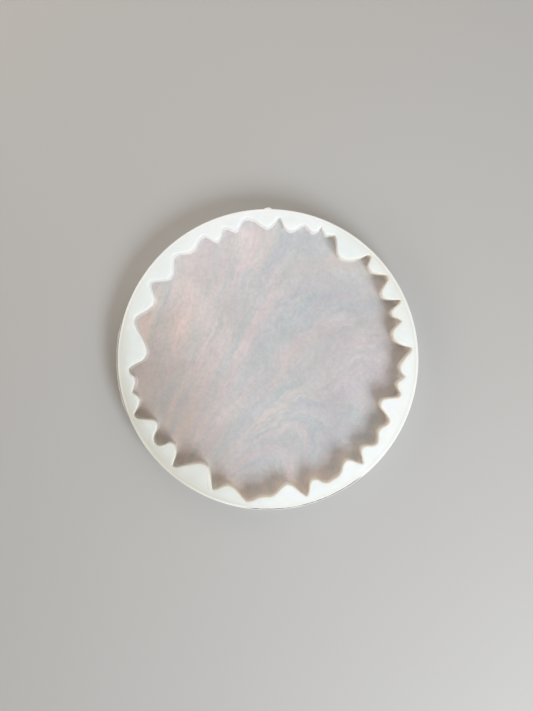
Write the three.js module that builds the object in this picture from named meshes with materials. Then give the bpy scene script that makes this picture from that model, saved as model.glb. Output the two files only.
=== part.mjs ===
import * as THREE from "three";

// Open-faced casting mould in soft silicone: one flat disc with a shallow cavity whose wall
// wanders in and out in rounded lobes and sharp notches, the edge of a sliced geode.
// Millimetres, +Z up. The origin is the centre of the disc on its flat underside.

const OUTER_DIAMETER = 125;      // plain round outside
const TOTAL_HEIGHT = 10;         // underside to rim face
const FLOOR_THICKNESS = 2;       // membrane under the cavity
const OUTER_SEGMENTS = 180;      // facets round the outside
const SAMPLES_PER_KNOT = 2;      // facets between two knots of the cavity outline

const BASE_CHAMFER = 0.5;        // underside to outer wall
const RIM_OUTER_CHAMFER = 0.3;   // rim face to outer wall
const RIM_INNER_CHAMFER = 0.4;   // rim face to cavity wall

// Casting flash left on the outer edge of the rim face.
const FLASH_OUT = 0.5;           // how far the thin lip stands out
const FLASH_THICKNESS = 0.45;    // lip thickness, flush with the rim face
const FLASH_CENTRE_DEG = 184;    // middle of the lip, counter-clockwise from +X
const FLASH_SPAN_DEG = 44;       // angle the lip covers
const NUB_OUT = 0.8;             // small tag on the same edge
const NUB_CENTRE_DEG = 89.9;
const NUB_WIDTH = 2.8;           // along the edge
const NUB_THICKNESS = 1.4;

// Knots of the cavity outline at the rim, counter-clockwise, [x, y] in mm from the disc centre.
const CAVITY_KNOTS = [
  [4.80, 59.20], [3.05, 57.58], [1.41, 55.80], [-0.70, 55.07], [-2.91, 56.14],
  [-4.94, 57.67], [-6.56, 58.57], [-8.69, 59.01], [-10.66, 58.10], [-11.71, 56.23],
  [-12.76, 54.17], [-14.69, 53.81], [-16.77, 54.92], [-18.68, 54.76], [-19.60, 52.52],
  [-20.27, 50.33], [-21.89, 49.36], [-23.99, 50.38], [-26.11, 51.69], [-28.14, 50.97],
  [-29.54, 48.94], [-30.73, 46.57], [-32.65, 45.01], [-35.05, 44.37], [-37.47, 44.29],
  [-39.38, 43.14], [-39.80, 40.70], [-39.84, 38.00], [-40.13, 35.59], [-41.74, 33.65],
  [-44.15, 33.18], [-46.74, 33.01], [-48.98, 32.48], [-49.44, 30.59], [-48.41, 28.14],
  [-47.48, 25.38], [-47.87, 23.08], [-49.65, 21.21], [-52.03, 19.75], [-54.19, 18.46],
  [-55.63, 16.88], [-55.54, 14.68], [-54.35, 12.06], [-52.81, 9.43], [-51.61, 6.93],
  [-50.72, 4.59], [-50.70, 2.06], [-52.17, -0.10], [-54.30, -1.36], [-56.31, -2.39],
  [-58.01, -4.06], [-57.49, -5.85], [-55.85, -7.42], [-55.50, -9.65], [-56.05, -11.73],
  [-56.44, -13.76], [-54.67, -15.08], [-53.62, -16.93], [-54.09, -19.39], [-55.03, -21.23],
  [-55.79, -23.21], [-54.31, -24.60], [-52.28, -24.92], [-49.99, -25.09], [-47.44, -25.40],
  [-46.19, -27.11], [-46.54, -29.39], [-47.40, -31.11], [-47.72, -33.34], [-46.74, -35.26],
  [-44.99, -36.04], [-43.18, -35.59], [-41.20, -34.80], [-39.13, -35.43], [-38.38, -37.93],
  [-38.56, -40.14], [-39.21, -42.23], [-39.69, -44.42], [-37.81, -44.98], [-35.57, -44.46],
  [-32.97, -43.91], [-30.22, -43.45], [-27.46, -43.44], [-25.35, -44.63], [-24.42, -47.07],
  [-23.96, -49.59], [-23.69, -51.98], [-22.98, -54.21], [-20.94, -53.99], [-19.05, -53.03],
  [-16.91, -52.54], [-14.63, -53.42], [-12.72, -55.33], [-10.77, -57.58], [-8.71, -59.11],
  [-6.25, -58.71], [-3.77, -57.61], [-1.15, -57.11], [1.44, -57.05], [3.69, -55.66],
  [5.55, -53.67], [7.53, -52.20], [9.66, -52.36], [11.84, -53.90], [13.93, -55.69],
  [16.07, -56.82], [17.12, -54.97], [17.41, -52.37], [18.30, -50.43], [20.32, -49.95],
  [22.51, -50.93], [24.76, -51.27], [27.09, -50.05], [29.27, -48.57], [30.75, -46.46],
  [31.34, -44.07], [32.74, -42.14], [34.93, -42.07], [37.22, -42.97], [39.50, -43.42],
  [39.55, -41.33], [38.81, -38.98], [39.19, -36.93], [41.16, -35.98], [43.50, -35.95],
  [45.46, -34.99], [45.93, -32.72], [46.01, -30.35], [47.34, -28.53], [49.48, -27.36],
  [50.58, -25.65], [49.79, -23.40], [48.28, -21.38], [46.96, -19.34], [47.61, -17.16],
  [49.86, -16.29], [52.12, -16.04], [54.47, -15.61], [55.28, -14.02], [54.12, -11.83],
  [54.08, -9.86], [55.83, -8.37], [57.05, -7.00], [55.56, -5.18], [55.06, -3.09],
  [56.08, -0.99], [57.68, 1.18], [59.46, 3.18], [59.78, 4.93], [57.39, 5.75],
  [54.97, 6.76], [52.97, 8.23], [51.93, 10.40], [52.79, 12.67], [54.20, 14.12],
  [55.61, 15.81], [54.37, 17.09], [52.17, 18.16], [51.56, 19.90], [53.14, 21.81],
  [54.84, 23.32], [55.22, 24.80], [52.97, 25.02], [50.90, 25.05], [48.58, 25.67],
  [47.22, 27.58], [48.13, 29.79], [49.31, 31.69], [50.14, 33.42], [49.43, 35.09],
  [47.47, 35.58], [45.43, 35.86], [43.15, 36.76], [41.87, 38.62], [42.48, 40.78],
  [42.99, 42.76], [41.64, 43.59], [39.57, 42.76], [37.35, 42.03], [34.56, 41.57],
  [32.33, 41.67], [30.00, 42.70], [28.95, 44.71], [28.82, 47.16], [28.67, 49.16],
  [28.02, 51.44], [26.14, 51.77], [24.11, 52.00], [22.87, 53.75], [22.21, 54.99],
  [20.26, 53.30], [18.22, 53.27], [16.53, 54.97], [14.82, 56.12], [12.77, 55.06],
  [10.67, 53.87], [8.49, 53.90], [6.77, 55.42], [5.96, 57.56],
];

const R = OUTER_DIAMETER / 2;
const FLOOR_Z = FLOOR_THICKNESS;
const RIM_Z = TOTAL_HEIGHT;

// Closed Catmull-Rom curve through the knots.
function closedCurve(knots, perKnot) {
  const out = [];
  const n = knots.length;
  for (let i = 0; i < n; i++) {
    const [p0, p1, p2, p3] = [knots[(i + n - 1) % n], knots[i], knots[(i + 1) % n], knots[(i + 2) % n]];
    for (let k = 0; k < perKnot; k++) {
      const u = k / perKnot;
      const at = (a) =>
        0.5 * (2 * p1[a] + (p2[a] - p0[a]) * u
          + (2 * p0[a] - 5 * p1[a] + 4 * p2[a] - p3[a]) * u * u
          + (3 * p1[a] - p0[a] - 3 * p2[a] + p3[a]) * u * u * u);
      out.push([at(0), at(1)]);
    }
  }
  return out;
}

// Moves every point of a counter-clockwise loop outward along its normal.
function grown(loop, distance) {
  const n = loop.length;
  return loop.map(([x, y], i) => {
    const a = loop[(i + n - 1) % n];
    const b = loop[(i + 1) % n];
    const l = Math.hypot(b[0] - a[0], b[1] - a[1]);
    return [x + (distance * (b[1] - a[1])) / l, y - (distance * (b[0] - a[0])) / l];
  });
}

// Outline of the outside: a circle, with the flash lip and the tag scaled by `flash` and `nub`.
function outsideLoop(radius, flash, nub) {
  const loop = [];
  for (let i = 0; i < OUTER_SEGMENTS; i++) {
    const deg = (360 * i) / OUTER_SEGMENTS;
    const fromLip = Math.abs(deg - FLASH_CENTRE_DEG) / (FLASH_SPAN_DEG / 2);
    const lip = fromLip < 1 ? Math.min(1, 2.5 * (1 - fromLip)) : 0;
    const fromNub = (Math.abs(deg - NUB_CENTRE_DEG) * Math.PI * R) / 180 / (NUB_WIDTH / 2);
    const tag = fromNub < 1 ? 1 : 0;
    const r = radius + flash * FLASH_OUT * lip + nub * NUB_OUT * tag;
    const t = (deg * Math.PI) / 180;
    loop.push([r * Math.cos(t), r * Math.sin(t)]);
  }
  return loop;
}

// Closed solid between stacked loops. `outside` and `inside` are lists of {z, loop} from the
// bottom up; without `inside` the solid has no hole.
function stackedSolid(outside, inside) {
  const points = [];
  const faces = [];
  const place = (levels) =>
    levels.map(({ z, loop }) => {
      const first = points.length;
      for (const [x, y] of loop) points.push([x, y, z]);
      return { first, loop };
    });
  const outer = place(outside);
  const inner = inside ? place(inside) : null;

  const strip = (levels, facesOut) => {
    for (let k = 0; k + 1 < levels.length; k++) {
      const n = levels[k].loop.length;
      for (let i = 0; i < n; i++) {
        const j = (i + 1) % n;
        const [a, b] = [levels[k].first + i, levels[k].first + j];
        const [c, d] = [levels[k + 1].first + i, levels[k + 1].first + j];
        if (facesOut) faces.push([a, b, d], [a, d, c]);
        else faces.push([a, d, b], [a, c, d]);
      }
    }
  };
  strip(outer, true);
  if (inner) strip(inner, false);

  const cap = (o, i, up) => {
    const flat = (l) => l.loop.map(([x, y]) => new THREE.Vector2(x, y));
    const ring = flat(o);
    const hole = i ? flat(i) : null;
    const index = ring.map((_, k) => o.first + k).concat(hole ? hole.map((_, k) => i.first + k) : []);
    const all = hole ? ring.concat(hole) : ring;
    for (const [a, b, c] of THREE.ShapeUtils.triangulateShape(ring, hole ? [hole] : [])) {
      const [p, q, s] = [all[a], all[b], all[c]];
      const ccw = (q.x - p.x) * (s.y - p.y) - (q.y - p.y) * (s.x - p.x) > 0;
      const [f, g, h] = [index[a], index[b], index[c]];
      faces.push(ccw === up ? [f, g, h] : [f, h, g]);
    }
  };
  cap(outer[outer.length - 1], inner && inner[inner.length - 1], true);
  cap(outer[0], inner && inner[0], false);

  const geometry = new THREE.BufferGeometry();
  geometry.setAttribute("position", new THREE.Float32BufferAttribute(points.flat(), 3));
  geometry.setIndex(faces.flat());
  const flatShaded = geometry.toNonIndexed();
  flatShaded.computeVertexNormals();
  return flatShaded;
}

function piece(name, geometry, material) {
  const mesh = new THREE.Mesh(geometry, material);
  mesh.name = name;
  return mesh;
}

const cavity = closedCurve(CAVITY_KNOTS, SAMPLES_PER_KNOT);

// The thick ring: plain round outside, lobed inside, flash along the rim edge.
const rimWall = stackedSolid(
  [
    { z: 0, loop: outsideLoop(R - BASE_CHAMFER, 0, 0) },
    { z: BASE_CHAMFER, loop: outsideLoop(R, 0, 0) },
    { z: RIM_Z - NUB_THICKNESS - 0.3, loop: outsideLoop(R, 0, 0) },
    { z: RIM_Z - NUB_THICKNESS, loop: outsideLoop(R, 0, 0.6) },
    { z: RIM_Z - FLASH_THICKNESS - 0.1, loop: outsideLoop(R, 0, 1) },
    { z: RIM_Z - FLASH_THICKNESS, loop: outsideLoop(R, 0.9, 1) },
    { z: RIM_Z - RIM_OUTER_CHAMFER, loop: outsideLoop(R, 1, 1) },
    { z: RIM_Z, loop: outsideLoop(R - RIM_OUTER_CHAMFER, 1, 0.8) },
  ],
  [
    { z: 0, loop: cavity },
    { z: FLOOR_Z, loop: cavity },
    { z: RIM_Z - RIM_INNER_CHAMFER, loop: cavity },
    { z: RIM_Z, loop: grown(cavity, RIM_INNER_CHAMFER) },
  ],
);

// The thin membrane that closes the cavity from below. Its edge is the foot of the cavity wall,
// and its underside is level with the ring's.
const cavityFloor = stackedSolid([
  { z: 0, loop: cavity },
  { z: FLOOR_Z, loop: cavity },
]);

const mould = new THREE.Group();
mould.name = "casting_mould";
mould.add(
  piece("rim_wall", rimWall,
    new THREE.MeshStandardMaterial({ name: "silicone", color: 0xf2f3ee, roughness: 0.5, metalness: 0 })),
  piece("cavity_floor", cavityFloor,
    new THREE.MeshStandardMaterial({ name: "silicone_thin", color: 0xc5c0c0, roughness: 0.45, metalness: 0 })),
);

export default mould;
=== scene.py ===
"""Silicone casting mould: a round disc with a lobed, notched cavity, seen from straight above.

Two pieces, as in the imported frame: the thick ring, and the thin membrane that closes the cavity
from below. The mesh code works in millimetres and the finished meshes are in metres.
"""
import math

import bpy
import numpy as np
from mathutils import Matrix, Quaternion, Vector, kdtree, noise
from mathutils.geometry import delaunay_2d_cdt


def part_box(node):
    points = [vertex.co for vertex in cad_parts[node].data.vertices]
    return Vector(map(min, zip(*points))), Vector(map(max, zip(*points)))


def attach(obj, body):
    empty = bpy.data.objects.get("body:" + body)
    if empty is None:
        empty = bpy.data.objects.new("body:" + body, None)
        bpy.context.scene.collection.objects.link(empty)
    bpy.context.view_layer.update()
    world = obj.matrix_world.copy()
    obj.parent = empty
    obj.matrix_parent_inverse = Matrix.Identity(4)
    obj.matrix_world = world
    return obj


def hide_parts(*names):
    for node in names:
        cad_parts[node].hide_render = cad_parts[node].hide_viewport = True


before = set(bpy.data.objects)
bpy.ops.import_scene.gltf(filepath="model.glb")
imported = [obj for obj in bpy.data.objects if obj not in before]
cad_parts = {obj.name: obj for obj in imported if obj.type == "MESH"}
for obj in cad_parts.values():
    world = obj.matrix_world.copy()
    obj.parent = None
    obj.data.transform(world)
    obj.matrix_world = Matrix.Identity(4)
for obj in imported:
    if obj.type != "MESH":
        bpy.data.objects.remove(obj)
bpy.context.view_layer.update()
low, high = (np.array(v) * 1000 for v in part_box("cavity_floor"))
FLOOR_Z = float(high[2])
RIM_Z = float(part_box("rim_wall")[1].z * 1000)
FACE_Z = RIM_Z - 0.09   # the rim face sits a little under the raised outer edge
R = 62.5                # outside radius
INNER_ROUND = 0.5       # rim face rolls into the cavity wall
OUTER_ROUND = 0.26      # rim face rolls into the outer wall
BASE_ROUND = 0.5        # outer wall rolls into the underside
FOOT_ROUND = 0.32       # membrane rises into the foot of the wall
PER_KNOT = 6            # outline points between two knots
AROUND = 720            # points round the outside

KNOTS = np.array([
    (4.80, 59.20), (3.05, 57.58), (1.41, 55.80), (-0.70, 55.07), (-2.91, 56.14), (-4.94, 57.67),
    (-6.56, 58.57), (-8.69, 59.01), (-10.66, 58.10), (-11.71, 56.23), (-12.76, 54.17),
    (-14.69, 53.81), (-16.77, 54.92), (-18.68, 54.76), (-19.60, 52.52), (-20.27, 50.33),
    (-21.89, 49.36), (-23.99, 50.38), (-26.11, 51.69), (-28.14, 50.97), (-29.54, 48.94),
    (-30.73, 46.57), (-32.65, 45.01), (-35.05, 44.37), (-37.47, 44.29), (-39.38, 43.14),
    (-39.80, 40.70), (-39.84, 38.00), (-40.13, 35.59), (-41.74, 33.65), (-44.15, 33.18),
    (-46.74, 33.01), (-48.98, 32.48), (-49.44, 30.59), (-48.41, 28.14), (-47.48, 25.38),
    (-47.87, 23.08), (-49.65, 21.21), (-52.03, 19.75), (-54.19, 18.46), (-55.63, 16.88),
    (-55.54, 14.68), (-54.35, 12.06), (-52.81, 9.43), (-51.61, 6.93), (-50.72, 4.59),
    (-50.70, 2.06), (-52.17, -0.10), (-54.30, -1.36), (-56.31, -2.39), (-58.01, -4.06),
    (-57.49, -5.85), (-55.85, -7.42), (-55.50, -9.65), (-56.05, -11.73), (-56.44, -13.76),
    (-54.67, -15.08), (-53.62, -16.93), (-54.09, -19.39), (-55.03, -21.23), (-55.79, -23.21),
    (-54.31, -24.60), (-52.28, -24.92), (-49.99, -25.09), (-47.44, -25.40), (-46.19, -27.11),
    (-46.54, -29.39), (-47.40, -31.11), (-47.72, -33.34), (-46.74, -35.26), (-44.99, -36.04),
    (-43.18, -35.59), (-41.20, -34.80), (-39.13, -35.43), (-38.38, -37.93), (-38.56, -40.14),
    (-39.21, -42.23), (-39.69, -44.42), (-37.81, -44.98), (-35.57, -44.46), (-32.97, -43.91),
    (-30.22, -43.45), (-27.46, -43.44), (-25.35, -44.63), (-24.42, -47.07), (-23.96, -49.59),
    (-23.69, -51.98), (-22.98, -54.21), (-20.94, -53.99), (-19.05, -53.03), (-16.91, -52.54),
    (-14.63, -53.42), (-12.72, -55.33), (-10.77, -57.58), (-8.71, -59.11), (-6.25, -58.71),
    (-3.77, -57.61), (-1.15, -57.11), (1.44, -57.05), (3.69, -55.66), (5.55, -53.67),
    (7.53, -52.20), (9.66, -52.36), (11.84, -53.90), (13.93, -55.69), (16.07, -56.82),
    (17.12, -54.97), (17.41, -52.37), (18.30, -50.43), (20.32, -49.95), (22.51, -50.93),
    (24.76, -51.27), (27.09, -50.05), (29.27, -48.57), (30.75, -46.46), (31.34, -44.07),
    (32.74, -42.14), (34.93, -42.07), (37.22, -42.97), (39.50, -43.42), (39.55, -41.33),
    (38.81, -38.98), (39.19, -36.93), (41.16, -35.98), (43.50, -35.95), (45.46, -34.99),
    (45.93, -32.72), (46.01, -30.35), (47.34, -28.53), (49.48, -27.36), (50.58, -25.65),
    (49.79, -23.40), (48.28, -21.38), (46.96, -19.34), (47.61, -17.16), (49.86, -16.29),
    (52.12, -16.04), (54.47, -15.61), (55.28, -14.02), (54.12, -11.83), (54.08, -9.86),
    (55.83, -8.37), (57.05, -7.00), (55.56, -5.18), (55.06, -3.09), (56.08, -0.99),
    (57.68, 1.18), (59.46, 3.18), (59.78, 4.93), (57.39, 5.75), (54.97, 6.76), (52.97, 8.23),
    (51.93, 10.40), (52.79, 12.67), (54.20, 14.12), (55.61, 15.81), (54.37, 17.09),
    (52.17, 18.16), (51.56, 19.90), (53.14, 21.81), (54.84, 23.32), (55.22, 24.80),
    (52.97, 25.02), (50.90, 25.05), (48.58, 25.67), (47.22, 27.58), (48.13, 29.79),
    (49.31, 31.69), (50.14, 33.42), (49.43, 35.09), (47.47, 35.58), (45.43, 35.86),
    (43.15, 36.76), (41.87, 38.62), (42.48, 40.78), (42.99, 42.76), (41.64, 43.59),
    (39.57, 42.76), (37.35, 42.03), (34.56, 41.57), (32.33, 41.67), (30.00, 42.70),
    (28.95, 44.71), (28.82, 47.16), (28.67, 49.16), (28.02, 51.44), (26.14, 51.77),
    (24.11, 52.00), (22.87, 53.75), (22.21, 54.99), (20.26, 53.30), (18.22, 53.27),
    (16.53, 54.97), (14.82, 56.12), (12.77, 55.06), (10.67, 53.87), (8.49, 53.90), (6.77, 55.42),
    (5.96, 57.56),
])


# ---------------------------------------------------------------- curves and distances

def closed_curve(knots, per):
    """Closed Catmull-Rom curve through the knots."""
    p0, p1, p2, p3 = (np.roll(knots, s, 0)[:, None, :] for s in (1, 0, -1, -2))
    u = (np.arange(per) / per)[None, :, None]
    c = 0.5 * (2 * p1 + (p2 - p0) * u + (2 * p0 - 5 * p1 + 4 * p2 - p3) * u**2
               + (3 * p1 - p0 - 3 * p2 + p3) * u**3)
    return c.reshape(-1, 2)


def normals_of(loop):
    """Unit normals of a counter-clockwise loop, pointing out of it."""
    t = np.roll(loop, -1, 0) - np.roll(loop, 1, 0)
    t /= np.hypot(t[:, 0], t[:, 1])[:, None]
    return np.stack([t[:, 1], -t[:, 0]], 1)


class Line:
    """A closed loop that gives exact distances to itself."""

    def __init__(self, loop):
        self.p = loop
        self.tree = kdtree.KDTree(len(loop))
        for i, (x, y) in enumerate(loop):
            self.tree.insert((x, y, 0), i)
        self.tree.balance()

    def distance(self, points):
        n = len(self.p)
        near = np.array([self.tree.find((x, y, 0))[1] for x, y in points])
        best = np.full(len(points), 1e9)
        for a, b in ((near - 1, near), (near, near + 1)):
            pa, pb = self.p[a % n], self.p[b % n]
            e = pb - pa
            t = np.clip(((points - pa) * e).sum(1) / (e * e).sum(1), 0, 1)
            best = np.minimum(best, np.hypot(*(points - pa - e * t[:, None]).T))
        return best

    def inside(self, points):
        a, b = self.p, np.roll(self.p, -1, 0)
        out = np.zeros(len(points), bool)
        for k in range(0, len(points), 4000):
            x, y = points[k:k + 4000, 0:1], points[k:k + 4000, 1:2]
            cross = (a[:, 1] > y) != (b[:, 1] > y)
            with np.errstate(divide="ignore", invalid="ignore"):
                at = (b[:, 0] - a[:, 0]) * (y - a[:, 1]) / (b[:, 1] - a[:, 1]) + a[:, 0]
            out[k:k + 4000] = (cross & (x < at)).sum(1) % 2 == 1
        return out


def hexes(step, reach):
    """Points of a hexagonal grid over a square."""
    rows = np.arange(-reach, reach, step * math.sqrt(3) / 2)
    cols = np.arange(-reach, reach, step)
    return np.array([(x + (step / 2 if j % 2 else 0), y) for j, y in enumerate(rows) for x in cols])


def wave(points, scale, seed):
    """Smooth noise in -1..1 at points given in mm."""
    z = points[:, 2] if points.shape[1] > 2 else np.zeros(len(points))
    return np.array([noise.noise(Vector((x / scale + seed, y / scale - seed, h / scale + 3.1 * seed)))
                     for (x, y), h in zip(points[:, :2], z)])


def shaded_side(turn):
    """The shaded side of the cavity wall, turned from the key light, by angle: on the right and at the bottom; painted
    glow and shade go there.
    """
    d = np.abs((turn - 318 + 180) % 360 - 180)
    t = np.clip((118 - d) / 60, 0, 1)
    return t * t * (3 - 2 * t)


def angle_of(points):
    return np.degrees(np.arctan2(points[:, 1], points[:, 0])) % 360


OUTLINE = closed_curve(KNOTS, PER_KNOT)
# the wall is a little fuller than the knots' curve, most of all on the shaded side
OUTLINE = OUTLINE - normals_of(OUTLINE) * (0.05 + 0.12 * shaded_side(angle_of(OUTLINE)))[:, None]
NORMAL = normals_of(OUTLINE)
LINE = Line(OUTLINE)


# ---------------------------------------------------------------- mesh assembly

class Body:
    """Vertices, faces and per-vertex values of one closed mesh, collected in mm."""

    def __init__(self):
        self.co, self.faces, self.n = [], [], 0

    def add(self, points):
        points = np.asarray(points, float)
        self.co.append(points)
        first = self.n
        self.n += len(points)
        return np.arange(first, self.n)

    def ring(self, loop, z):
        z = np.broadcast_to(np.asarray(z, float), (len(loop),))
        return self.add(np.column_stack([loop, z]))

    def strip(self, a, b, outward=True):
        """Quads between two loops with as many points; outward when b is above a on an outer wall."""
        a2, b2 = np.roll(a, -1), np.roll(b, -1)
        q = np.stack([a, a2, b2, b] if outward else [a, b, b2, a2], 1)
        self.faces += q.tolist()

    def fill(self, loops, extra, height, keep, up=True):
        """Triangles over a flat region bounded by loops that exist already, with extra points inside."""
        here = np.vstack(self.co)
        idx = np.concatenate(loops)
        flat = here[idx][:, :2]
        edges, k = [], 0
        for l in loops:
            m = len(l)
            edges += [(k + i, k + (i + 1) % m) for i in range(m)]
            k += m
        new = self.add(np.column_stack([extra, height(extra)]))
        every = np.vstack([flat, extra])
        ids = np.concatenate([idx, new])
        v, _, f, ov, _, _ = delaunay_2d_cdt([Vector(p) for p in every], edges, [], 0, 1e-7)
        back = [o[0] if o else None for o in ov]
        if any(b is None for b in back):
            raise RuntimeError("the region's loops cross")
        tri = np.array(f)
        tri = np.array([[back[i] for i in t] for t in tri])
        mid = every[tri].mean(1)
        tri = tri[keep(mid)]
        p = every[tri]
        area = ((p[:, 1, 0] - p[:, 0, 0]) * (p[:, 2, 1] - p[:, 0, 1])
                - (p[:, 1, 1] - p[:, 0, 1]) * (p[:, 2, 0] - p[:, 0, 0]))
        tri[(area > 0) != up] = tri[(area > 0) != up][:, ::-1]
        self.faces += ids[tri].tolist()

    def mesh(self, name, values):
        co = np.vstack(self.co)
        used = np.zeros(len(co), bool)
        for f in self.faces:
            used[f] = True
        at = np.cumsum(used) - 1
        me = bpy.data.meshes.new(name)
        me.from_pydata((co[used] / 1000).tolist(), [], [[int(at[i]) for i in f] for f in self.faces])
        me.validate()
        for key, value in values(co[used]).items():
            me.attributes.new(key, "FLOAT", "POINT").data.foreach_set("value", value.astype(np.float32))
        me.shade_smooth()
        me.update()
        return me


# ---------------------------------------------------------------- the outside and its flash

ANGLE = np.arange(AROUND) * 2 * math.pi / AROUND
DEG = np.degrees(ANGLE)


def bell(centre, half, soft):
    """1 within half degrees of centre, falling to 0 over soft degrees."""
    d = np.abs((DEG - centre + 180) % 360 - 180)
    t = np.clip((half + soft - d) / soft, 0, 1)
    return t * t * (3 - 2 * t)


ragged = wave(np.column_stack([np.cos(ANGLE), np.sin(ANGLE)]) * R, 2.2, 11.3)
coarse = wave(np.column_stack([np.cos(ANGLE), np.sin(ANGLE)]) * R, 9.0, 4.7)
# a thin lip where silicone crept under the casting ring
LIP = (0.52 + 0.16 * ragged + 0.14 * coarse) * bell(184, 13, 10)
LIP = np.clip(LIP + 0.03 * (ragged > 0.25) * ragged, 0, 0.8)
# a fine groove just inside the outer edge, where the lip stayed flush
SEAM = np.clip(bell(285, 19, 7) * (1 + 0.5 * coarse + 0.25 * ragged), 0, 1)
# a small tag where the casting ring's ends met
tag = np.abs((DEG - 89.9 + 180) % 360 - 180) * math.pi / 180 * R
TAG = 0.78 * np.clip(1 - (tag / 1.55) ** 2, 0, 1) ** 0.7 * (1 + 0.12 * ragged)


def outside(radius, lip=0.0, nub=0.0, wobble=0.0):
    r = radius + lip * LIP + nub * TAG + wobble
    return np.column_stack([r * np.cos(ANGLE), r * np.sin(ANGLE)])


def ground(points, scale=1.0):
    """Slow unevenness of a face that set against a flat board."""
    return scale * (0.03 * wave(points, 17, 2.0) + 0.012 * wave(points, 5.5, 8.0))


# ---------------------------------------------------------------- the thick ring

def make_ring():
    b = Body()
    # cavity wall, from the underside up, then rolled over on to the rim face
    tall = INNER_ROUND * (1 + 0.7 * shaded_side(angle_of(OUTLINE)))   # the roll starts lower on one side
    zs = [0.0, FLOOR_Z, FLOOR_Z + FOOT_ROUND, 3.6, 5.0, 6.4, 7.6, 8.4]
    inner = []
    for z in zs:
        p = OUTLINE
        if z > FLOOR_Z + FOOT_ROUND:
            at = np.column_stack([OUTLINE, np.full(len(OUTLINE), z)])
            p = OUTLINE + NORMAL * (0.035 * wave(at, 3.2, 5.0) + 0.03 * wave(at, 9.0, 9.0))[:, None]
        inner.append(b.ring(p, z))
    for a in (0, 12, 25, 38, 51, 64, 77, 90):
        a = math.radians(a)
        p = OUTLINE + NORMAL * INNER_ROUND * (1 - math.cos(a))
        z = FACE_Z - tall * (1 - math.sin(a)) + ground(p, math.sin(a) ** 2)
        inner.append(b.ring(p, z))
    for lo, hi in zip(inner, inner[1:]):
        b.strip(lo, hi, outward=False)

    # outer wall, from the underside up
    outer = []
    for a in (0, 22, 45, 68, 90):
        a = math.radians(a)
        outer.append(b.ring(outside(R - BASE_ROUND * (1 - math.sin(a))), BASE_ROUND * (1 - math.cos(a))))
    for z in (1.6, 2.9, 4.2, 5.5, 6.7, 7.7, 8.2):
        at = np.column_stack([outside(R), np.full(AROUND, z)])
        nub = max(0.0, (z - 4.5) / 3.7) ** 2 * 0.22
        outer.append(b.ring(outside(R, 0, nub, 0.045 * wave(at, 11, 1.0) + 0.02 * wave(at, 3.0, 6.0)), z))
    # the tag and the lip stand out just under the rim; a groove parts the lip from the rim
    here = np.clip(LIP / 0.25, 0, 1)
    for z, lip, nub, dip in ((8.65, 0.0, 0.75, 0), (9.0, 0.0, 1.0, 0), (9.18, 0.02, 1.02, 0.02),
                             (9.30, 0.30, 1.01, 0.06), (9.37, 0.72, 1.0, 0.06), (9.43, 0.94, 0.99, 0.04),
                             (9.50, 1.0, 0.98, 0.02), (9.57, 0.95, 0.96, 0.01), (9.62, 0.80, 0.94, 0.0),
                             (9.66, 0.55, 0.92, -0.02), (9.70, 0.30, 0.90, -0.12), (9.74, 0.08, 0.87, -0.22)):
        outer.append(b.ring(outside(R, lip, nub), z + dip * here))
    for a, lip, nub, dip in ((22, 0.0, 0.82, -0.14), (44, 0.0, 0.7, -0.03), (66, 0.0, 0.5, 0), (90, 0.0, 0.25, 0)):
        a = math.radians(a)
        p = outside(R - OUTER_ROUND * (1 - math.cos(a)), lip, nub)
        z = RIM_Z - OUTER_ROUND * (1 - math.sin(a)) + ground(p, math.sin(a) ** 2) + dip * here
        outer.append(b.ring(p, z))
    for lo, hi in zip(outer, outer[1:]):
        b.strip(lo, hi)

    every = np.vstack(b.co)
    top_in, top_out = every[inner[-1]][:, :2], every[outer[-1]][:, :2]
    rim_line, rim_in = Line(top_out), Line(top_in)
    extra = []
    for d, skip in ((0.68, 1), (0.95, 2), (1.35, 2), (1.9, 3)):
        extra.append((OUTLINE + NORMAL * d)[::skip][LINE.distance((OUTLINE + NORMAL * d)[::skip]) > d * 0.97])
    for d, skip in ((0.37, 1), (0.49, 1), (0.61, 1), (0.76, 1), (0.94, 2), (1.15, 2), (1.5, 2)):
        extra.append(outside(R - d)[::skip])
    grid = hexes(1.15, R)
    grid = grid[(np.hypot(*grid.T) < R - 1.9)]
    grid = grid[~LINE.inside(grid)]
    grid = grid[LINE.distance(grid) > 2.5]
    extra.append(grid)
    extra = np.vstack(extra)
    ok = (~LINE.inside(extra)) & (LINE.distance(extra) > INNER_ROUND + 0.14) & (rim_line.distance(extra) > 0.1)
    ok &= np.hypot(*extra.T) < R - OUTER_ROUND
    extra = thinned(extra[ok], 0.12)

    def face(p):
        # silicone crept up the casting ring, which left the outer edge raised
        e = R - np.hypot(*p.T)
        t = np.clip((1.05 - e) / 0.62, 0, 1)
        groove = np.interp(angle_of(p), np.append(DEG, 360), np.append(SEAM, SEAM[0])) * np.clip(1 - np.abs(e - 0.42) / 0.15, 0, 1)
        return FACE_Z + (RIM_Z - FACE_Z) * t * t * (3 - 2 * t) + ground(p) - 0.16 * groove

    b.fill([inner[-1], outer[-1]], extra, face,
           lambda m: rim_line.inside(m) & ~rim_in.inside(m), up=True)

    low_line = Line(every[outer[0]][:, :2])
    grid = hexes(2.4, R)
    grid = grid[(np.hypot(*grid.T) < R - 1.8) & ~LINE.inside(grid)]
    grid = grid[LINE.distance(grid) > 1.0]
    b.fill([inner[0], outer[0]], grid, lambda p: np.zeros(len(p)),
           lambda m: low_line.inside(m) & ~LINE.inside(m), up=False)

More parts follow.
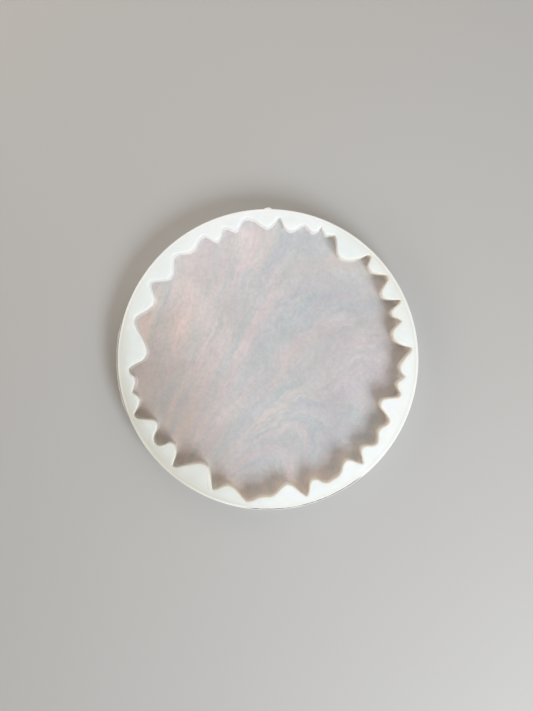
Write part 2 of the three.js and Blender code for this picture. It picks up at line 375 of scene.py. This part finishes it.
    def values(co):
        x, y, z = co.T
        d = LINE.distance(co[:, :2])
        inside = LINE.inside(co[:, :2])
        edge = np.clip(np.where(inside, 0, d), 0, 8)
        turn = angle_of(co)
        lip = np.interp(turn, np.append(DEG, 360), np.append(here, here[0])) * (z > 9.1)
        seam = np.interp(turn, np.append(DEG, 360), np.append(SEAM, SEAM[0])) * (z > 9.1)
        return {"from_cavity": edge, "from_outside": np.clip(R - np.hypot(x, y), -1, 8) * (z > 9.1) + 4.0 * (z <= 9.1),
                "lip": lip, "seam": seam, "falloff_shade": falloff_shade(turn), "shaded_side": shaded_side(turn), "tip": tip(co),
                "clear": np.maximum(np.exp(-((turn - 190) / 50) ** 2), np.exp(-((turn - 66) / 22) ** 2)),
                "top_light": np.exp(-((turn - 95) / 52) ** 2),
                "side": (np.hypot(x, y) > R - 0.6) * np.clip((9.3 - z) / 0.5, 0, 1),
                "depth": np.clip(RIM_Z - z, 0, 8) * (d < 0.5) * (np.hypot(x, y) < R - 1)}

    return b.mesh("rim_wall_skin", values)


def find_tips():
    """The sharp outward tips of the cavity outline, each with how sharp it is, 0 to 1."""
    step = np.roll(OUTLINE, -1, 0) - OUTLINE
    at = np.append(0, np.cumsum(np.hypot(*step.T)))
    here = at[:-1]
    loop = np.vstack([OUTLINE, OUTLINE[:1]])

    def point(s):
        s = s % at[-1]
        return np.stack([np.interp(s, at, loop[:, 0]), np.interp(s, at, loop[:, 1])], 1)
    before, after = OUTLINE - point(here - 0.8), point(here + 0.8) - OUTLINE
    bend = np.degrees(np.arctan2(before[:, 0] * after[:, 1] - before[:, 1] * after[:, 0], (before * after).sum(1)))
    reach = 14
    peak = np.max([np.roll(bend, k) for k in range(-reach, reach + 1)], 0)
    pick = (bend >= peak) & (bend > 38)
    return OUTLINE[pick], np.clip((bend[pick] - 30) / 45, 0, 1)


TIPS, SHARP = find_tips()


def tip(co):
    """How near a point is to a sharp tip, where the silicone outside is thin and lets light in."""
    turn = angle_of(TIPS)
    weight = SHARP * (0.30 + 0.70 * shaded_side(turn))
    d2 = ((co[:, None, :2] - TIPS[None]) ** 2).sum(2)
    return np.clip((weight * np.exp(-d2 / 1.7**2)).max(1), 0, 1)


def falloff_shade(turn):
    """How much painted shade the rim gets, by angle, where the light falls off: most at the lower left."""
    def near(at, wide):
        return np.exp(-(((turn - at + 180) % 360 - 180) / wide) ** 2)
    return np.clip(1.15 * near(217, 38) + 0.30 * near(162, 24) + 0.37 * near(30, 32) + 0.15 * near(342, 22)
                   + 0.07 * near(300, 34), 0, 1)


def thinned(points, least):
    """Leaves out points closer than least to one kept before them."""
    tree, kept = {}, []
    for p in points:
        key = (int(p[0] // least), int(p[1] // least))
        near = [q for i in (-1, 0, 1) for j in (-1, 0, 1) for q in tree.get((key[0] + i, key[1] + j), [])]
        if all((p[0] - q[0]) ** 2 + (p[1] - q[1]) ** 2 > least * least for q in near):
            tree.setdefault(key, []).append(p)
            kept.append(p)
    return np.array(kept)


# ---------------------------------------------------------------- the membrane

BUBBLES = [  # x, y, radius of tiny voids open at the surface
    (7.97, -50.6, 0.42), (-31.2, -20.4, 0.22), (22.5, 31.8, 0.2), (-12.6, 40.3, 0.26),
    (40.1, -6.3, 0.2), (3.2, -22.7, 0.18), (-44.8, 11.5, 0.24),
]


def make_membrane():
    b = Body()
    base = b.ring(OUTLINE, 0.0)
    edge = b.ring(OUTLINE, FLOOR_Z + FOOT_ROUND)
    b.strip(base, edge)

    def height(p):
        d = LINE.distance(p)
        x = np.clip(FOOT_ROUND - d, 0, FOOT_ROUND)
        z = FLOOR_Z + FOOT_ROUND - np.sqrt(FOOT_ROUND**2 - x**2)
        z = z + np.clip(d / 6, 0, 1) * (0.05 * wave(p, 26, 3.0) + 0.018 * wave(p, 8.5, 7.0))
        for x0, y0, r in BUBBLES:
            s = np.hypot(p[:, 0] - x0, p[:, 1] - y0) / r
            z = z - 0.5 * r * np.clip(1 - s * s, 0, 1) + 0.1 * r * np.exp(-((s - 1.25) / 0.25) ** 2)
        return z

    extra = []
    for d in (0.03, 0.09, 0.18, 0.3, 0.45, 0.75, 1.3):
        p = OUTLINE - NORMAL * d
        skip = 1 if d < 0.5 else 2
        extra.append(p[::skip][LINE.distance(p[::skip]) > d * 0.96])
    for x0, y0, r in BUBBLES:
        for s, m in ((0, 1), (0.35, 6), (0.7, 10), (0.92, 14), (1.05, 16), (1.25, 16), (1.55, 16), (2.2, 14), (3.2, 12)):
            a = np.arange(m) * 2 * math.pi / m + s
            extra.append(np.column_stack([x0 + r * s * np.cos(a), y0 + r * s * np.sin(a)]))
    fine = np.vstack(extra)
    grid = hexes(1.6, R)
    grid = grid[LINE.inside(grid)]
    grid = grid[LINE.distance(grid) > 2.0]
    for x0, y0, r in BUBBLES:
        grid = grid[np.hypot(grid[:, 0] - x0, grid[:, 1] - y0) > 4 * r]
    fine = fine[LINE.inside(fine)]
    extra = thinned(np.vstack([fine, grid]), 0.045)
    extra = extra[LINE.distance(extra) > 0.02]
    inside = LINE.inside
    b.fill([edge], extra, height, inside, up=True)
    grid = hexes(3.2, R)
    grid = grid[LINE.inside(grid)]
    grid = grid[LINE.distance(grid) > 1.5]
    b.fill([base], grid, lambda p: np.zeros(len(p)), inside, up=False)

    def values(co):
        d = LINE.distance(co[:, :2])
        x, y = co[:, 0] / 50, co[:, 1] / 50
        x = np.where(x > 0.65, 0.65 + 0.3 * (x - 0.65), x)
        # level lines of this slow field give the bands their direction, which was fitted to the
        # direction of the wood grain that shows through the membrane, not to any real flow mark
        flow = (-0.39 * x + 0.29 * y + 0.61 * x * x - 0.37 * x * y + 0.05 * y * y
                - 0.40 * x**3 + 0.22 * x * x * y + 0.12 * x * y * y - 0.03 * y**3)
        # the same lines at an even spacing, in units of 50 mm
        flow = 1 + 4.44 * flow
        flow = 0.5 * np.log(0.5 * (flow + np.sqrt(flow * flow + 0.04)))
        turn = angle_of(co)
        # painted light: the membrane lighter beside the wall on the shaded side, standing in for light let through the
        # wall
        wall_glow = shaded_side(turn) * (1 - 0.62 * np.exp(-(((turn - 10 + 180) % 360 - 180) / 32) ** 2))
        wall_glow = np.maximum(wall_glow, 0.55 * np.exp(-((turn - 220) / 26) ** 2))
        def near(at, wide, deep):
            return np.exp(-(((turn - at + 180) % 360 - 180) / wide) ** 2) * np.exp(-(d / deep) ** 2)
        # painted shade and light beside the wall, by angle: darker where the shadow falls deeper, lighter where more
        # light reaches
        floor_shade = near(10, 26, 4.5) + 0.75 * near(189, 20, 5) + 0.5 * near(340, 14, 5)
        light_lift = near(290, 17, 6.5) + 0.6 * near(254, 8, 7) + 0.35 * near(44, 20, 9) + 0.45 * near(208, 9, 8)
        return {"from_wall": np.clip(d, 0, 12), "flow": flow, "wall_glow": wall_glow, "floor_shade": floor_shade, "light_lift": light_lift, "tip": tip(co)}

    return b.mesh("cavity_floor_skin", values)


# ---------------------------------------------------------------- materials

class Nodes:
    """Short hand for a material's node tree."""

    def __init__(self, name):
        self.mat = bpy.data.materials.new(name)
        self.mat.use_nodes = True
        self.t = self.mat.node_tree
        self.t.nodes.clear()
        self.out = self.t.nodes.new("ShaderNodeOutputMaterial")
        self.co = self.t.nodes.new("ShaderNodeTexCoord").outputs["Object"]

    def link(self, a, b):
        self.t.links.new(a, b)

    def put(self, socket, value):
        if isinstance(value, bpy.types.NodeSocket):
            self.link(value, socket)
        else:
            socket.default_value = value

    def noise(self, scale, detail=3.0, rough=0.5, distort=0.0, at=None):
        n = self.t.nodes.new("ShaderNodeTexNoise")
        n.inputs["Scale"].default_value = scale
        n.inputs["Detail"].default_value = detail
        n.inputs["Roughness"].default_value = rough
        n.inputs["Distortion"].default_value = distort
        self.link(at or self.co, n.inputs["Vector"])
        return n.outputs["Fac"]

    def mapped(self, scale=(1, 1, 1), turn=0.0, move=(0, 0, 0)):
        n = self.t.nodes.new("ShaderNodeMapping")
        n.inputs["Scale"].default_value = scale
        n.inputs["Rotation"].default_value = (0, 0, turn)
        n.inputs["Location"].default_value = move
        self.link(self.co, n.inputs["Vector"])
        return n.outputs["Vector"]

    def ramp(self, value, a, b, lo=0.0, hi=1.0):
        n = self.t.nodes.new("ShaderNodeMapRange")
        n.interpolation_type = "SMOOTHSTEP"
        self.put(n.inputs["Value"], value)
        n.inputs["From Min"].default_value = a
        n.inputs["From Max"].default_value = b
        n.inputs["To Min"].default_value = lo
        n.inputs["To Max"].default_value = hi
        return n.outputs["Result"]

    def math(self, op, a, b=0.0, c=0.0):
        n = self.t.nodes.new("ShaderNodeMath")
        n.operation = op
        for s, v in zip(n.inputs, (a, b, c)):
            self.put(s, v)
        return n.outputs[0]

    def split(self, vector):
        n = self.t.nodes.new("ShaderNodeSeparateXYZ")
        self.link(vector, n.inputs[0])
        return n.outputs["X"], n.outputs["Y"]

    def height(self):
        """Height over the underside."""
        n = self.t.nodes.new("ShaderNodeSeparateXYZ")
        self.link(self.co, n.inputs[0])
        return n.outputs["Z"]

    def join(self, x, y):
        n = self.t.nodes.new("ShaderNodeCombineXYZ")
        self.put(n.inputs["X"], x)
        self.put(n.inputs["Y"], y)
        return n.outputs["Vector"]

    def attribute(self, name):
        n = self.t.nodes.new("ShaderNodeAttribute")
        n.attribute_name = name
        return n.outputs["Fac"]

    def bump(self, height, distance, strength=1.0, after=None):
        n = self.t.nodes.new("ShaderNodeBump")
        n.inputs["Strength"].default_value = strength
        n.inputs["Distance"].default_value = distance
        self.link(height, n.inputs["Height"])
        if after is not None:
            self.link(after, n.inputs["Normal"])
        return n.outputs["Normal"]

    def shader(self, **values):
        n = self.t.nodes.new("ShaderNodeBsdfPrincipled")
        for key, v in values.items():
            self.put(n.inputs[key.replace("_", " ")], v)
        self.link(n.outputs["BSDF"], self.out.inputs["Surface"])
        return n


def color_socket(node, key):
    """The colour socket of a Mix node, which has several inputs of one name."""
    return [s for s in node.inputs if s.name == key and s.type == "RGBA"][0]


def mix_rgb(m, fac, a, b, how="MIX"):
    n = m.t.nodes.new("ShaderNodeMix")
    n.data_type = "RGBA"
    n.blend_type = how
    m.put(n.inputs[0], fac)
    for key, v in (("A", a), ("B", b)):
        s = color_socket(n, key)
        if isinstance(v, bpy.types.NodeSocket):
            m.link(v, s)
        else:
            s.default_value = (*v, 1.0)
    return [s for s in n.outputs if s.type == "RGBA"][0]


def tint(m, base, fac, low, high):
    """Multiplies a colour by one that runs from low to high."""
    return mix_rgb(m, 1.0, base, mix_rgb(m, fac, low, high), "MULTIPLY")


def silicone():
    """Milky cast silicone in a thick section: cool white. Its creamier edges, and its darker and greyer lower left, are
    painted light and shade.
    """
    m = Nodes("milky_silicone")
    cavity, outer = m.attribute("from_cavity"), m.attribute("from_outside")
    lip, falloff = m.attribute("lip"), m.attribute("falloff_shade")
    shaded, depth = m.attribute("shaded_side"), m.attribute("depth")
    cloud = m.noise(95, 4, 0.55, 0.6)
    patch = m.noise(26, 3, 0.5, 0.3)
    # painted light and shade on the shaded side of the cavity wall: a bright creamy glow, standing in for light let
    # through the silicone, and darker brown further down
    wall = mix_rgb(m, shaded, (0.955, 0.93, 0.895), (1.0, 0.94, 0.86))
    wall = mix_rgb(m, m.math("MULTIPLY", m.ramp(depth, 1.5, 6.0, 0.0, 0.75), shaded), wall, (0.81, 0.70, 0.60))
    # painted shade: the wall darker towards its foot where the light falls off, most at the lower left, not on the
    # shaded side
    lower_left_wall_shade = m.math("MAXIMUM", m.math("MINIMUM", m.math("MULTIPLY_ADD", falloff, 1.9, -0.35), 1.0), 0.0)
    lower_left_wall_shade = m.math("MULTIPLY", lower_left_wall_shade, m.math("SUBTRACT", 1.0, shaded))
    wall = mix_rgb(m, m.math("MULTIPLY", m.ramp(depth, 0.9, 3.0), lower_left_wall_shade), wall, (0.41, 0.345, 0.29))
    # painted light: the wall lighter near sharp tips, standing in for light let through the thin silicone there
    wall = mix_rgb(m, m.attribute("tip"), wall, (1.0, 0.975, 0.94))
    # painted shade: the face creamier near the cavity edge on the shaded side
    flat = mix_rgb(m, m.math("MULTIPLY", m.ramp(cavity, 1.05, 0.4), shaded), (0.915, 0.962, 0.962), (0.92, 0.88, 0.80))
    base = mix_rgb(m, m.ramp(cavity, 0.05, 0.7), wall, flat)
    # painted light: the face darker away from the cavity edge, least at the top, so that it looks lit near the wall
    top_light = m.attribute("top_light")
    core = m.math("MULTIPLY", m.ramp(cavity, 2.2, 5.5, 0.0, 0.5), m.math("MULTIPLY_ADD", top_light, -0.85, 1.0))
    base = mix_rgb(m, core, base, (0.902, 0.92, 0.905))
    # painted shade: the rim darker, greyer and creamier where the light falls off, most at the lower left
    shade_veil = m.math("MULTIPLY", m.ramp(outer, 2.5, 6.8, 0.0, 0.57), m.attribute("clear"))
    shade_veil = m.math("MULTIPLY", m.math("MULTIPLY", m.math("SUBTRACT", 1.0, shade_veil), 0.70), falloff)
    base = mix_rgb(m, shade_veil, base, (0.655, 0.645, 0.575))
    base = tint(m, base, m.ramp(patch, 0.36, 0.66), (0.962, 0.962, 0.952), (1.03, 1.028, 1.024))
    base = tint(m, base, m.ramp(cloud, 0.34, 0.70), (0.975, 0.975, 0.975), (1.015, 1.015, 1.015))
    # faint streaks that follow the outer edge and the outline of the cavity
    x, y = m.split(m.co)
    x, y = m.math("MULTIPLY", x, 75.0), m.math("MULTIPLY", y, 75.0)
    for across, step, reach, low, high in ((outer, 2.1, 3.4, 0.88, 1.05), (cavity, 1.9, 3.0, 0.94, 1.025)):
        streak = m.noise(1.0, 3, 0.6, 0.35, at=m.join(m.math("MULTIPLY_ADD", across, step, x), m.math("MULTIPLY_ADD", across, 0.6, y)))
        weight = m.math("MULTIPLY", m.ramp(across, reach, reach * 0.3), m.math("MULTIPLY_ADD", falloff, 0.65, 0.35))
        streak = m.ramp(streak, 0.34, 0.66)
        base = mix_rgb(m, weight, base, tint(m, base, streak, (low, low * 0.997, low * 0.985), (high, high, high)))
    # a painted highlight, a bright line along the outer edge, and a painted creamy band of shade inside it
    line = m.math("MULTIPLY", m.ramp(outer, 0.02, 0.25), m.ramp(outer, 0.95, 0.65))
    line = m.math("MULTIPLY", line, m.math("MULTIPLY_ADD", falloff, -0.62, 0.75))
    base = mix_rgb(m, line, base, (0.985, 0.98, 0.955))
    band = m.math("MULTIPLY", m.ramp(outer, 0.70, 1.0), m.ramp(outer, 2.1, 1.2))
    band = m.math("MULTIPLY", band, m.math("ADD", m.math("MULTIPLY", falloff, 0.45), m.math("MULTIPLY_ADD", top_light, -0.12, 0.12)))
    base = mix_rgb(m, band, base, (0.72, 0.67, 0.58))
    # painted shade: darker and creamier towards the outer edge where the light falls off
    base = mix_rgb(m, m.math("MULTIPLY", m.ramp(outer, 4.6, 1.0, 0.0, 0.2), falloff), base, (0.70, 0.64, 0.56))
    # painted light: the rim face lighter near its outer edge and cooler inside it, at the top
    base = tint(m, base, m.math("MULTIPLY", m.ramp(outer, 3.4, 0.9), top_light), (1.0, 1.0, 1.0), (1.055, 1.035, 1.02))
    base = tint(m, base, m.math("MULTIPLY", m.ramp(outer, 1.5, 4.0), top_light), (1.0, 1.0, 1.0), (0.985, 1.014, 1.03))
    base = mix_rgb(m, 1.0, base, (0.99, 0.99, 0.99), "DARKEN")
    # painted shade: the thin lip is painted darker, with a less dark, thicker bead at its edge
    web = m.math("MULTIPLY", m.ramp(outer, 0.26, 0.10), m.ramp(outer, -0.42, -0.22))
    base = mix_rgb(m, m.math("MULTIPLY", m.math("MULTIPLY", web, lip), 0.9), base, (0.42, 0.38, 0.35))
    bead = m.math("MULTIPLY", m.ramp(outer, -0.24, -0.40), lip)
    base = mix_rgb(m, m.math("MULTIPLY", bead, 0.6), base, (0.70, 0.66, 0.62))
    # painted shade: a darker line just inside the outer edge, and a dark line in the groove where the seam runs
    seam = m.attribute("seam")
    fade = m.ramp(m.noise(330, 2, 0.5), 0.36, 0.52, 0.55, 1.0)
    base = mix_rgb(m, m.math("MULTIPLY", m.ramp(outer, 0.31, 0.22), m.math("MULTIPLY", seam, 0.6)), base, (0.86, 0.77, 0.74))
    groove = m.math("MULTIPLY", m.ramp(outer, 0.20, 0.27), m.ramp(outer, 0.60, 0.51))
    groove = m.math("MULTIPLY", groove, m.math("MULTIPLY", seam, fade))
    base = mix_rgb(m, groove, base, (0.14, 0.10, 0.10))
    # faint drag lines down the outer wall, and dust along its foot
    side = m.attribute("side")
    drag = m.noise(1.0, 3, 0.55, 0.2, at=m.mapped((420, 420, 38)))
    base = mix_rgb(m, m.math("MULTIPLY", side, m.ramp(drag, 0.44, 0.66, 0.0, 0.30)), base, (0.80, 0.80, 0.775))
    foot = m.math("ADD", m.height(), m.ramp(m.noise(140, 4, 0.6), 0.3, 0.7, -0.0007, 0.0007))
    base = mix_rgb(m, m.math("MULTIPLY", side, m.ramp(foot, 0.0019, 0.0002, 0.0, 0.5)), base, (0.70, 0.665, 0.61))
    specks = m.ramp(m.noise(1500, 2, 0.5), 0.70, 0.78, 0.0, 0.35)
    base = mix_rgb(m, specks, base, (0.76, 0.74, 0.71))
    rough = m.ramp(m.noise(210, 5, 0.6, 0.4), 0.3, 0.75, 0.38, 0.54)
    grain = m.bump(m.noise(2600, 3, 0.6), 0.00003, 0.5)
    ripple = m.bump(m.math("MULTIPLY", drag, side), 0.00008, 0.5, after=grain)
    peel = m.bump(m.noise(520, 3, 0.5), 0.00006, 0.6, after=ripple)
    m.shader(Base_Color=base, Roughness=rough, Normal=peel, IOR=1.41,
             Subsurface_Weight=m.math("MULTIPLY_ADD", groove, -0.7, 0.7), Subsurface_Radius=(1.0, 0.88, 0.76), Subsurface_Scale=0.0022,
             Sheen_Weight=0.35, Sheen_Roughness=0.6)
    return m.mat


def thin_silicone():
    """The same silicone as a thin membrane: greyish, with soft bands where it flowed, and painted light and shade
    across it and beside the wall.
    """
    m = Nodes("thin_silicone")
    across = m.attribute("flow")
    across = m.math("ADD", across, m.ramp(m.noise(60, 3, 0.55), 0.2, 0.8, -0.035, 0.035))
    across = m.math("ADD", across, m.ramp(m.noise(260, 2, 0.5), 0.2, 0.8, -0.011, 0.011))
    x, y = m.split(m.co)
    along = m.math("ADD", m.math("MULTIPLY", x, 0.45), m.math("MULTIPLY", y, 0.9))

    def bands(a, b, detail, rough, bend):
        return m.noise(1.0, detail, rough, bend, at=m.join(m.math("MULTIPLY", across, a), m.math("MULTIPLY", along, b)))

    wide, fine, thread = bands(6.5, 14, 4, 0.55, 0.6), bands(19, 38, 4, 0.6, 0.6), bands(52, 110, 3, 0.6, 0.4)
    cloud = m.noise(42, 4, 0.55, 0.9)
    wisp = m.noise(150, 4, 0.6, 1.2)
    grainy = m.noise(620, 3, 0.6, 0.4)
    where = m.ramp(m.noise(36, 2, 0.5, 0.5), 0.38, 0.60, 0.25, 1.0)
    # the tone shifts across the membrane: cooler at the right, lighter at the top, warmer and darker at the left, where
    # the darkening is painted shade
    base = mix_rgb(m, m.ramp(x, 0.002, 0.030), (0.597, 0.577, 0.584), (0.553, 0.546, 0.568))
    base = mix_rgb(m, m.ramp(m.math("ADD", x, m.math("MULTIPLY", y, 0.3)), -0.014, -0.048), base, (0.570, 0.505, 0.475))
    base = mix_rgb(m, m.ramp(y, 0.010, 0.045, 0.0, 0.8), base, (0.612, 0.592, 0.602))
    # painted shade: darker towards the lower left
    low = m.ramp(m.math("ADD", m.math("MULTIPLY", x, -0.9), m.math("MULTIPLY", y, -0.45)), 0.030, 0.056, 0.0, 0.22)
    base = mix_rgb(m, low, base, (0.455, 0.400, 0.365))
    # painted light: lighter towards the upper left
    back = m.math("MULTIPLY", m.math("SUBTRACT", y, x), 0.7071)
    base = tint(m, base, m.ramp(back, 0.022, 0.044), (1.0, 1.0, 1.0), (1.11, 1.08, 1.06))
    base = tint(m, base, m.ramp(wide, 0.34, 0.66), (0.93, 0.984, 1.0), (1.075, 1.010, 0.998))
    mauve = m.noise(1.0, 3, 0.55, 0.6, at=m.join(m.math("MULTIPLY_ADD", across, 12, 7.3), m.math("MULTIPLY", along, 24)))
    base = tint(m, base, m.ramp(mauve, 0.36, 0.64), (1.004, 0.990, 1.009), (0.996, 1.010, 0.991))
    plain = base
    base = tint(m, base, m.ramp(fine, 0.32, 0.68), (0.915, 0.956, 0.963), (1.086, 1.034, 1.028))
    base = tint(m, base, m.ramp(thread, 0.32, 0.68), (0.945, 0.968, 0.970), (1.055, 1.032, 1.030))
    base = mix_rgb(m, where, plain, base)
    base = tint(m, base, m.ramp(grainy, 0.32, 0.68), (0.955, 0.958, 0.957), (1.045, 1.042, 1.043))
    base = tint(m, base, m.ramp(cloud, 0.32, 0.68), (0.945, 0.948, 0.95), (1.055, 1.055, 1.05))
    base = tint(m, base, m.ramp(wisp, 0.34, 0.70), (0.98, 0.98, 0.98), (1.02, 1.017, 1.015))
    foot = m.ramp(m.attribute("from_wall"), 0.0, 0.45, 0.47, 0.0)
    # painted light: lighter and warmer beside the wall on its shaded side, for light let through the wall
    wall_glow = m.math("MULTIPLY", m.ramp(m.attribute("from_wall"), 0.0, 3.6, 0.50, 0.0), m.attribute("wall_glow"))
    base = mix_rgb(m, wall_glow, base, (0.76, 0.70, 0.645))
    # painted light, then painted shade, beside the wall by angle
    base = tint(m, base, m.attribute("light_lift"), (1.0, 1.0, 1.0), (1.22, 1.165, 1.12))
    base = mix_rgb(m, m.math("MULTIPLY", m.attribute("floor_shade"), 0.5), base, (0.41, 0.36, 0.33))
    # painted light: lighter at the foot of the wall, lifting the shade in the corner, where the fillet is also thicker
    base = mix_rgb(m, foot, base, (0.80, 0.76, 0.70))
    # painted light: lighter near sharp tips of the wall, for light let through the thin silicone
    base = mix_rgb(m, m.attribute("tip"), base, (0.96, 0.93, 0.895))
    specks = m.ramp(m.noise(1300, 2, 0.5), 0.70, 0.78, 0.0, 0.3)
    base = mix_rgb(m, specks, base, (0.66, 0.63, 0.61))
    rough = m.ramp(m.noise(160, 5, 0.6, 0.6), 0.3, 0.75, 0.30, 0.44)
    grain = m.bump(m.noise(2400, 3, 0.6), 0.00002, 0.4)
    slow = m.bump(m.noise(130, 3, 0.5, 0.5), 0.00012, 0.5, after=grain)
    m.shader(Base_Color=base, Roughness=rough, Normal=slow, IOR=1.41,
             Subsurface_Weight=0.2, Subsurface_Radius=(1.0, 0.88, 0.78), Subsurface_Scale=0.001)
    return m.mat


def paper():
    """Plain pale studio floor."""
    m = Nodes("studio_floor")
    base = mix_rgb(m, m.noise(3.0, 3), (0.50, 0.485, 0.47), (0.53, 0.515, 0.50))
    m.shader(Base_Color=base, Roughness=0.9, Specular_IOR_Level=0.2)
    return m.mat


# ---------------------------------------------------------------- pieces

def piece(mesh, material, node):
    o = bpy.data.objects.new(mesh.name, mesh)
    bpy.context.scene.collection.objects.link(o)
    mesh.materials.append(material)
    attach(o, "root")
    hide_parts(node)
    return o


ring = piece(make_ring(), silicone(), "rim_wall")
membrane = piece(make_membrane(), thin_silicone(), "cavity_floor")

# ---------------------------------------------------------------- stage, light, camera

profile = [(0.0, 0.0), (0.5, 0.0), (1.1, 0.0), (1.5, 0.0)]
profile += [(1.5 + 0.5 * math.sin(a), 0.5 - 0.5 * math.cos(a)) for a in np.radians(np.arange(10, 91, 10))]
verts, faces, turns = [], [], 96
for r, z in profile[1:]:
    verts += [(r * math.cos(t), r * math.sin(t), z) for t in np.arange(turns) * 2 * math.pi / turns]
centre = len(verts)
verts.append((0.0, 0.0, 0.0))
for k in range(turns):
    n = (k + 1) % turns
    faces.append((centre, k, n))
    for j in range(len(profile) - 2):
        faces.append((j * turns + k, (j + 1) * turns + k, (j + 1) * turns + n, j * turns + n))
me = bpy.data.meshes.new("studio_floor")
me.from_pydata(verts, [], faces)
me.shade_smooth()
floor = bpy.data.objects.new("studio_floor", me)
floor.location.z = -0.00002
bpy.context.scene.collection.objects.link(floor)
me.materials.append(paper())


def sun(name, toward, strength, colour, angle):
    """A distant light. toward points from the object to the light."""
    data = bpy.data.lights.new(name, "SUN")
    data.energy, data.color, data.angle = strength, colour, math.radians(angle)
    o = bpy.data.objects.new(name, data)
    o.rotation_mode = "QUATERNION"
    o.rotation_quaternion = Vector(toward).to_track_quat("Z", "Y")
    bpy.context.scene.collection.objects.link(o)
    return o


def panel(name, place, size, power, colour, narrow=None, turned=0.0):
    """A soft flat light that looks at the object: a square, or an ellipse if it is narrower one way."""
    data = bpy.data.lights.new(name, "AREA")
    data.shape, data.size, data.energy, data.color = "SQUARE", size, power, colour
    if narrow:
        data.shape, data.size_y = "ELLIPSE", narrow
    o = bpy.data.objects.new(name, data)
    o.location = place
    o.rotation_mode = "QUATERNION"
    o.rotation_quaternion = Vector(place).to_track_quat("Z", "Y") @ Quaternion((0, 0, 1), math.radians(turned))
    o.visible_camera = False
    bpy.context.scene.collection.objects.link(o)
    return o


panel("key", (0.300, -0.420, 0.455), 0.43, 2.90, (0.88, 1.0, 1.11), 0.25, 42.5)
panel("back", (-0.25, 0.25, 0.14), 0.22, 0.21, (1.09, 1.0, 0.89))
panel("front", (0.25, -0.25, 0.13), 0.22, 0.20, (1.06, 1.0, 0.94))
for name, turn, strength in (("low_left", 180, 0.38), ("low_front_left", 225, 0.46),
                             ("low_back_right", 45, 0.36)):
    a = math.radians(turn)
    sun(name, (math.cos(a), math.sin(a), 0.36), strength, (1.09, 1.0, 0.89), 40)
panel("fill", (0.043, 0.142, 0.26), 0.20, 0.13, (0.99, 1.0, 1.0))

world = bpy.data.worlds.new("studio")
bpy.context.scene.world = world
world.use_nodes = True
world.node_tree.nodes["Background"].inputs["Color"].default_value = (1.09, 1.0, 0.90, 1)
world.node_tree.nodes["Background"].inputs["Strength"].default_value = 0.29

cam = bpy.data.cameras.new("camera")
cam.lens, cam.sensor_width = 41.1, 36.0
cam.clip_start, cam.clip_end = 0.01, 20
camera = bpy.data.objects.new("camera", cam)
camera.location = (-0.000595, 0.001641, 0.010 + 0.337)
bpy.context.scene.collection.objects.link(camera)
bpy.context.scene.camera = camera
bpy.context.scene.view_settings.view_transform = "Standard"
bpy.context.scene.view_settings.look = "None"

bpy.context.view_layer.update()
